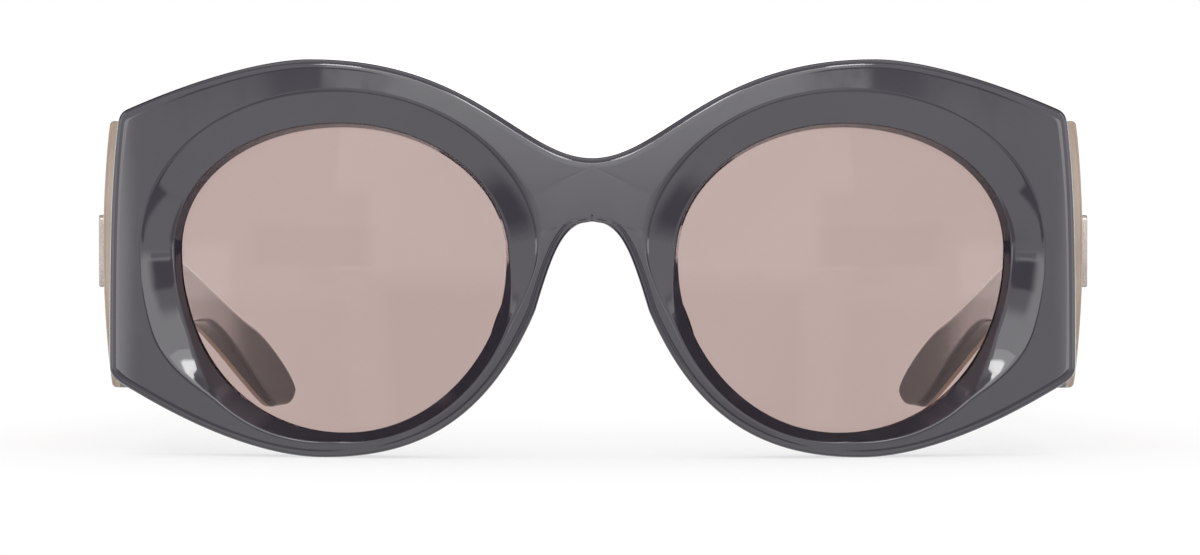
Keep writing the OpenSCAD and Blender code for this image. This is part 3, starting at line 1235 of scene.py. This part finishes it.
def plaque_pocket(gap: float = 0.05) -> bpy.types.Object:
    """Shapes the right plaque's pocket in the side plate.

    Args:
        gap: Clearance round the plaque in millimetres.

    Returns:
        The closed shape that is cut out.
    """
    obj = copy_of_node("plaque_right", "plaque_pocket")
    low = Vector(min(v.co[i] for v in obj.data.vertices) for i in range(3))
    high = Vector(max(v.co[i] for v in obj.data.vertices) for i in range(3))
    middle, size = (low + high) / 2, high - low
    for vertex in obj.data.vertices:
        for i in range(3):
            vertex.co[i] = middle[i] + (vertex.co[i] - middle[i]) * (1 + 2 * gap * MM / size[i])
    return obj


def colour(red: float, green: float, blue: float) -> Colour:
    """A colour as it shows on a screen, from 0 to 255, as linear light with full alpha."""
    parts = [v / 255 for v in (red, green, blue)]
    return (*[p / 12.92 if p <= 0.04045 else ((p + 0.055) / 1.055) ** 2.4 for p in parts], 1.0)


class Effect(Enum):
    """Patterns that the finishes share."""

    CLOUDS = "Soft clouds"
    POLISH = "Polishing marks"
    BRUSHED = "Brushed lines"


# Stretch and detail of each effect's noise, and the limits between which it rises
PATTERNS: dict[Effect, tuple[Place3, float, float, float]] = {
    Effect.CLOUDS: ((1, 1, 1), 3.0, 0.35, 0.65),
    Effect.POLISH: ((1, 5, 0.7), 5.0, 0.42, 0.70),
    Effect.BRUSHED: ((40, 1, 40), 2.0, 0.30, 0.70),
}


@dataclass(frozen=True)
class Nodes:
    """Adds nodes to a tree and joins them up."""

    tree: bpy.types.NodeTree

    def fill(self, node: bpy.types.Node, inputs: dict[str | int, Operand]) -> None:
        """Gives inputs of a node their values and links.

        Args:
            node: The node.
            inputs: What each of these inputs gets.
        """
        for key, value in inputs.items():
            if isinstance(value, (int, float, tuple)):
                node.inputs[key].default_value = value
            else:
                self.tree.links.new(value, node.inputs[key])

    def add(self, kind: str, inputs: dict[str | int, Operand] | None = None,
            **options: object) -> bpy.types.NodeOutputs:
        """Adds a node.

        Args:
            kind: Its type.
            inputs: What its inputs get.
            options: Its settings.

        Returns:
            Its outputs.
        """
        node = self.tree.nodes.new(kind)
        for key, value in options.items():
            setattr(node, key, value)
        self.fill(node, inputs or {})
        return node.outputs

    def combine(self, operation: str, a: Operand, b: Operand) -> bpy.types.NodeSocket:
        """The result of one operation on two values."""
        return self.add("ShaderNodeMath", {0: a, 1: b}, operation=operation)[0]

    def blend(self, share: Operand, a: Operand, b: Operand) -> bpy.types.NodeSocket:
        """A value between two others, by a share from 0 to 1."""
        ends = {"Value": share, "To Min": a, "To Max": b}
        return self.add("ShaderNodeMapRange", ends)["Result"]

    def ramp(self, value: Operand, low: float, high: float) -> bpy.types.NodeSocket:
        """A soft rise from 0 to 1 between two values."""
        ends = {"Value": value, "From Min": low, "From Max": high}
        return self.add("ShaderNodeMapRange", ends, interpolation_type="SMOOTHSTEP")["Result"]

    def window(self, angle: Operand, limits: Place, soft: float) -> bpy.types.NodeSocket:
        """Tells where an angle lies between two limits.

        Args:
            angle: The angle in radians.
            limits: The limits in degrees.
            soft: Width of their soft borders in degrees.

        Returns:
            One between the limits and zero elsewhere.
        """
        a, b, edge = (math.radians(v) for v in (*limits, soft / 2))
        return self.combine("SUBTRACT", self.ramp(angle, a - edge, a + edge),
                            self.ramp(angle, b - edge, b + edge))

    def effect(self, effect: Effect, scale: float) -> bpy.types.NodeSocket:
        """The value of a shared effect, with a scale of its own."""
        group = effect_group(effect)
        return self.add("ShaderNodeGroup", {"Scale": scale}, node_tree=group)["Value"]


def effect_group(effect: Effect) -> bpy.types.ShaderNodeTree:
    """Makes an effect's node group on Object coordinates, or returns the one that exists.

    Args:
        effect: Which effect the group gives.

    Returns:
        The group, with a scale as input and a value from 0 to 1 as output.
    """
    if effect.value in bpy.data.node_groups:
        return bpy.data.node_groups[effect.value]
    group = bpy.data.node_groups.new(effect.value, "ShaderNodeTree")
    group.interface.new_socket("Scale", in_out="INPUT", socket_type="NodeSocketFloat")
    group.interface.new_socket("Value", in_out="OUTPUT", socket_type="NodeSocketFloat")
    stretch, detail, low, high = PATTERNS[effect]
    nodes = Nodes(group)
    scale = nodes.add("NodeGroupInput")["Scale"]
    coords = nodes.add("ShaderNodeTexCoord")["Object"]
    place = nodes.add("ShaderNodeMapping", {"Vector": coords, "Scale": stretch})["Vector"]
    noise = nodes.add("ShaderNodeTexNoise", {"Vector": place, "Scale": scale, "Detail": detail})
    nodes.add("NodeGroupOutput", {"Value": nodes.ramp(noise["Fac"], low, high)})
    return group


@dataclass(frozen=True)
class Finish:
    """One material: two close colours in soft clouds, and the marks of its making."""

    name: str
    deep: Colour
    light: Colour
    cloud_scale: float
    marks: Effect
    mark_scale: float
    smoothest: float
    roughest: float
    relief: float
    metallic: float = 0.0
    ior: float = 1.5
    transmission: float = 0.0
    depth: float = 0.02

    def build(self) -> bpy.types.Material:
        """Makes the material.

        Returns:
            The material, with its colour, roughness and relief from nodes.
        """
        material = bpy.data.materials.new(self.name)
        material.use_nodes = True
        nodes = Nodes(material.node_tree)
        clouds = nodes.effect(Effect.CLOUDS, self.cloud_scale)
        marks = nodes.effect(self.marks, self.mark_scale)
        shades = nodes.add("ShaderNodeMix", {"A": self.deep, "B": self.light, "Factor": clouds},
                           data_type="RGBA")
        inputs = {"Metallic": self.metallic, "IOR": self.ior,
                  "Transmission Weight": self.transmission, "Base Color": shades["Result"],
                  "Roughness": nodes.blend(marks, self.smoothest, self.roughest)}
        if self.relief > 0:
            bump = {"Strength": self.relief, "Distance": self.depth * MM, "Height": marks}
            inputs["Normal"] = nodes.add("ShaderNodeBump", bump)["Normal"]
        nodes.fill(material.node_tree.nodes["Principled BSDF"], inputs)
        return material


FINISHES: dict[Slot, Finish] = {
    Slot.FRONT: Finish("charcoal_acetate", colour(50, 46, 56), colour(55, 51, 61), 45.0,
                       Effect.POLISH, 260.0, 0.03, 0.06, 0.01),
    Slot.TEMPLE: Finish("charcoal_temple_acetate", colour(50, 46, 56), colour(57, 53, 63), 40.0,
                        Effect.POLISH, 240.0, 0.06, 0.12, 0.012),
    Slot.PLATE: Finish("tan_acetate", colour(168, 143, 123), colour(181, 158, 139), 70.0,
                       Effect.POLISH, 200.0, 0.12, 0.20, 0.015),
    Slot.LENS: Finish("tinted_lens", colour(185, 164, 159), colour(188, 167, 162), 25.0,
                      Effect.CLOUDS, 120.0, 0.0, 0.004, 0.0, ior=1.2, transmission=1.0),
    Slot.PLAQUE: Finish("bare_warm_silver", colour(140, 133, 129), colour(152, 145, 140), 160.0,
                        Effect.BRUSHED, 900.0, 0.20, 0.34, 0.25, metallic=1.0),
    Slot.HINGE: Finish("hinge_steel", colour(172, 172, 176), colour(190, 190, 193), 220.0,
                       Effect.BRUSHED, 1100.0, 0.22, 0.38, 0.25, metallic=1.0),
    Slot.CORE: Finish("nickel_core", colour(180, 178, 172), colour(198, 195, 188), 200.0,
                      Effect.BRUSHED, 900.0, 0.25, 0.40, 0.2, metallic=1.0),
}


@dataclass(frozen=True)
class Zone:
    """A bright or dark part of the studio, as gloss shows it.

    It lies between two angles to either side of straight ahead and two angles above
    the level, in degrees, with soft borders.
    """

    strength: float
    ahead: Place
    rise: Place
    soft: Place


@dataclass(frozen=True)
class SoftBox:
    """One lamp, with its place in metres, its width and height, and its watts."""

    name: str
    place: Place3
    size: Place
    power: float


@dataclass(frozen=True)
class Studio:
    """White floor and backdrop, soft light and the photograph's camera.

    Places and sizes are in metres, angles in degrees, and the lens in millimetres. The
    camera's place is its distance ahead, its shift to the side and its height.
    """

    room: float = 1.05
    ambient: float = 0.82
    zones: tuple[Zone, ...] = (
        Zone(2.0, (-20.0, 76.0), (-80.0, 48.0), (10.0, 10.0)),
        Zone(2.3, (80.0, 108.0), (-8.0, 40.0), (8.0, 8.0)),
        Zone(0.6, (-20.0, 13.0), (-24.0, -3.6), (2.0, 2.0)),
        Zone(0.85, (19.5, 46.0), (-28.0, -5.0), (4.0, 3.0)),
        Zone(0.5, (51.0, 60.0), (-30.0, -10.0), (7.0, 12.0)),
        Zone(4.6, (36.0, 51.0), (-4.5, 2.5), (2.0, 2.0)),
        Zone(1.2, (20.0, 25.0), (-3.0, 0.5), (3.0, 1.0)),
        Zone(3.9, (-20.0, 20.6), (-1.3, 43.0), (0.7, 2.2)),
        Zone(1.7, (15.8, 20.8), (-1.6, -0.6), (1.0, 0.3)),
        Zone(1.8, (15.6, 33.0), (4.0, 10.5), (3.0, 4.0)),
        Zone(0.6, (15.6, 33.0), (-0.2, 5.5), (3.5, 1.0)),
        Zone(16.0, (14.0, 24.0), (35.5, 49.0), (2.0, 3.0)),
        Zone(0.05, (122.0, 148.0), (10.0, 50.0), (6.0, 4.0)),
        Zone(0.05, (140.0, 200.0), (26.0, 50.0), (6.0, 4.0)),
        Zone(2.2, (150.0, 179.0), (-13.0, 15.0), (5.0, 4.0)),
    )
    boxes: tuple[SoftBox, ...] = (
        SoftBox("front_box", (0, -1.5, 1.1), (0.9, 0.5), 2.5),
        SoftBox("top_box", (0, 0.1, 1.4), (1.4, 1.0), 2.5),
    )
    aim: Place3 = (0, -0.06, 0.03)
    distance: float = 1.075
    side: float = 0.006
    height: float = 0.0643
    pitch: float = 2.114
    yaw: float = 0.275
    focal: float = 199.7
    sensor: float = 36.0
    clip: Place = (0.05, 20.0)
    floor_size: float = 6.0
    floor_white: float = 0.9
    floor_rough: float = 0.9
    floor_shade: float = 0.35
    floor_glow: float = 0.68
    floor_fade: Place = (0.12, 0.45)

    def camera(self) -> None:
        """Sets the camera at the photograph's place."""
        data = bpy.data.cameras.new("camera")
        data.lens, data.sensor_width = self.focal, self.sensor
        data.clip_start, data.clip_end = self.clip
        camera = bpy.data.objects.new("camera", data)
        bpy.context.scene.collection.objects.link(camera)
        camera.location = (self.side, -self.distance, self.height)
        look = (Matrix.Rotation(math.radians(self.yaw), 3, "Z")
                @ Matrix.Rotation(math.radians(90 - self.pitch), 3, "X"))
        camera.rotation_euler = look.to_euler()
        bpy.context.scene.camera = camera

    def lamp(self, box: SoftBox) -> None:
        """Adds one soft box that points at the sunglasses.

        Args:
            box: Its place, size and power.
        """
        data = bpy.data.lights.new(box.name, "AREA")
        data.shape = "RECTANGLE"
        data.size, data.size_y = box.size
        data.energy = box.power
        lamp = bpy.data.objects.new(box.name, data)
        lamp.location = box.place
        ahead = Vector(self.aim) - Vector(box.place)
        lamp.rotation_euler = ahead.to_track_quat("-Z", "Y").to_euler()
        bpy.context.scene.collection.objects.link(lamp)

    def world(self) -> None:
        """Makes the surroundings: white where they are seen, and a plain soft light."""
        world = bpy.data.worlds.new("studio")
        world.use_nodes = True
        bpy.context.scene.world = world
        nodes = Nodes(world.node_tree)
        path = nodes.add("ShaderNodeLightPath")
        once = nodes.combine("LESS_THAN", path["Glossy Depth"], 0.5)
        through = nodes.combine("MULTIPLY", path["Is Transmission Ray"], once)
        seen = nodes.combine("MAXIMUM", path["Is Camera Ray"], through)
        mirrored = nodes.combine("GREATER_THAN", path["Glossy Depth"], 0.5)
        light = nodes.blend(mirrored, self.ambient, self.mirrored_room(nodes))
        nodes.fill(world.node_tree.nodes["Background"],
                   {"Color": (1, 1, 1, 1), "Strength": nodes.blend(seen, light, 1.0)})

    def mirrored_room(self, nodes: Nodes) -> bpy.types.NodeSocket:
        """Light of the studio as gloss shows it, by direction.

        Args:
            nodes: The world's nodes.

        Returns:
            The strength in each direction.
        """
        coords = nodes.add("ShaderNodeTexCoord")["Generated"]
        parts = nodes.add("ShaderNodeSeparateXYZ", {"Vector": coords})
        wide = nodes.combine("ABSOLUTE", parts["X"], 0.0)
        ahead = nodes.combine("ARCTAN2", wide, nodes.combine("MULTIPLY", parts["Y"], -1.0))
        rise = nodes.combine("ARCSINE", parts["Z"], 0.0)
        strength: Operand = self.room
        for zone in self.zones:
            inside = nodes.combine("MULTIPLY", nodes.window(ahead, zone.ahead, zone.soft[0]),
                                   nodes.window(rise, zone.rise, zone.soft[1]))
            strength = nodes.blend(inside, strength, zone.strength)
        return strength

    def floor(self) -> None:
        """Adds the pale floor, which keeps the shadow and fades into the white backdrop."""
        obj = primitive(bpy.ops.mesh.primitive_plane_add, "studio_floor", size=self.floor_size)
        material = bpy.data.materials.new("studio_white")
        material.use_nodes = True
        tree = material.node_tree
        nodes = Nodes(tree)
        path = nodes.add("ShaderNodeLightPath")
        coords = nodes.add("ShaderNodeTexCoord")["Object"]
        away = nodes.add("ShaderNodeVectorMath", {0: coords}, operation="LENGTH")["Value"]
        far = nodes.ramp(away, *self.floor_fade)
        seen = nodes.combine("MAXIMUM", path["Is Camera Ray"], path["Is Transmission Ray"])
        pale = nodes.blend(far, self.floor_shade, 0.0)
        glow = nodes.blend(far, self.floor_glow, 1.0)
        shader = tree.nodes["Principled BSDF"]
        nodes.fill(shader, {"Roughness": self.floor_rough, "Specular IOR Level": 0.0,
                            "Base Color": nodes.blend(seen, self.floor_white, pale),
                            "Emission Color": nodes.combine("MULTIPLY", seen, glow),
                            "Emission Strength": 1.0})
        clear = nodes.add("ShaderNodeBsdfTransparent")["BSDF"]
        either = nodes.add("ShaderNodeMixShader", {"Fac": path["Is Glossy Ray"],
                                                   1: shader.outputs["BSDF"], 2: clear})
        nodes.fill(tree.nodes["Material Output"], {"Surface": either["Shader"]})
        obj.data.materials.append(material)

    def build(self) -> None:
        """Sets up the whole studio."""
        bpy.context.scene.view_settings.view_transform = "Standard"
        self.camera()
        self.world()
        self.floor()
        for box in self.boxes:
            self.lamp(box)


class Sunglasses:
    """Builds and dresses every piece of the sunglasses."""

    def __init__(self) -> None:
        """Makes the finishes and the sizes that the pieces share."""
        self.materials = {slot: finish.build() for slot, finish in FINISHES.items()}
        self.front = FrontSizes()
        self.temple = TempleSizes(self.front)
        self.hinge = HingeSizes(self.temple)

    def hand_over(self, obj: bpy.types.Object, node: str, body: str, slot: Slot) -> None:
        """Dresses a finished piece in a slot's material, attaches it to its body and hides its
        CAD node.

        Args:
            obj: The piece.
            node: CAD node that it stands for.
            body: Body that it moves with.
            slot: Material slot of the record.
        """
        obj.data.materials.clear()
        obj.data.materials.append(self.materials[slot])
        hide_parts(node)
        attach(obj, body)
        LOG.info("%s: %d faces on %s", obj.name, len(obj.data.polygons), body)

    def pair(self, right: bpy.types.Object, node: str, on_arm: bool, slot: Slot) -> None:
        """Hands over a piece for the right side and its mirror image for the left.

        Args:
            right: The finished piece for the right side.
            node: CAD node without its side.
            on_arm: Whether it moves with a temple instead of with the front.
            slot: Material slot of the record.
        """
        left = mirror_copy(right, f"{node}_left_shaped")
        for side, obj in ((Side.RIGHT, right), (Side.LEFT, left)):
            self.hand_over(obj, f"{node}_{side.word}", side.body(on_arm), slot)

    def build_front(self) -> None:
        """Builds the front, its lenses and its pads."""
        right = self.hinge.front_pocket()
        pockets = [right, mirror_copy(right, "front_pocket_left")]
        self.hand_over(Front(self.front).build(pockets), "front_frame", "front", Slot.FRONT)
        self.pair(Lens(self.front).build(), "lens", False, Slot.LENS)
        self.pair(NosePad(self.front).build(), "nose_pad", False, Slot.FRONT)

    def build_temples(self) -> None:
        """Builds both layers of the temples."""
        dark = TempleLayer(self.temple, "temple", outer=False, edge_r=0.9)
        self.pair(dark.build([self.hinge.temple_pocket()]), "temple", True, Slot.TEMPLE)
        tan = TempleLayer(self.temple, "side_plate", outer=True, edge_r=0.8)
        self.pair(tan.build([plaque_pocket()]), "side_plate", True, Slot.PLATE)

    def build_hardware(self) -> None:
        """Builds the hinges, their screws and the plaques."""
        kinds = ((Hardware("front_hinge", 0.12), False, Slot.HINGE),
                 (Hardware("hinge_screw", 0.08), False, Slot.HINGE),
                 (Hardware("temple_hinge", 0.12), True, Slot.HINGE),
                 (Hardware("plaque", 0.18), True, Slot.PLAQUE))
        for kind, on_arm, slot in kinds:
            for side in Side:
                name = f"{kind.node}_{side.word}"
                self.hand_over(kind.build(side), name, side.body(on_arm), slot)

    def dress_hidden(self) -> None:
        """Gives the CAD nodes that lie inside the temples their metal."""
        for node, slot in (("core_wire", Slot.CORE), ("plaque_pins", Slot.PLAQUE)):
            for side in Side:
                obj = frame["nodes"][f"{node}_{side.word}"]
                if not obj.material_slots:
                    obj.data.materials.append(None)
                for place in obj.material_slots:
                    place.material = self.materials[slot]
                LOG.info("%s: dressed in %s", obj.name, slot.value)

    def build(self) -> None:
        """Builds everything in order."""
        self.build_front()
        self.build_temples()
        self.build_hardware()
        self.dress_hidden()


def main() -> None:
    logging.basicConfig(level=logging.INFO, format="%(name)s: %(message)s")
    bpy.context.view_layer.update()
    Sunglasses().build()
    Studio().build()


if __name__ == "__main__":
    main()
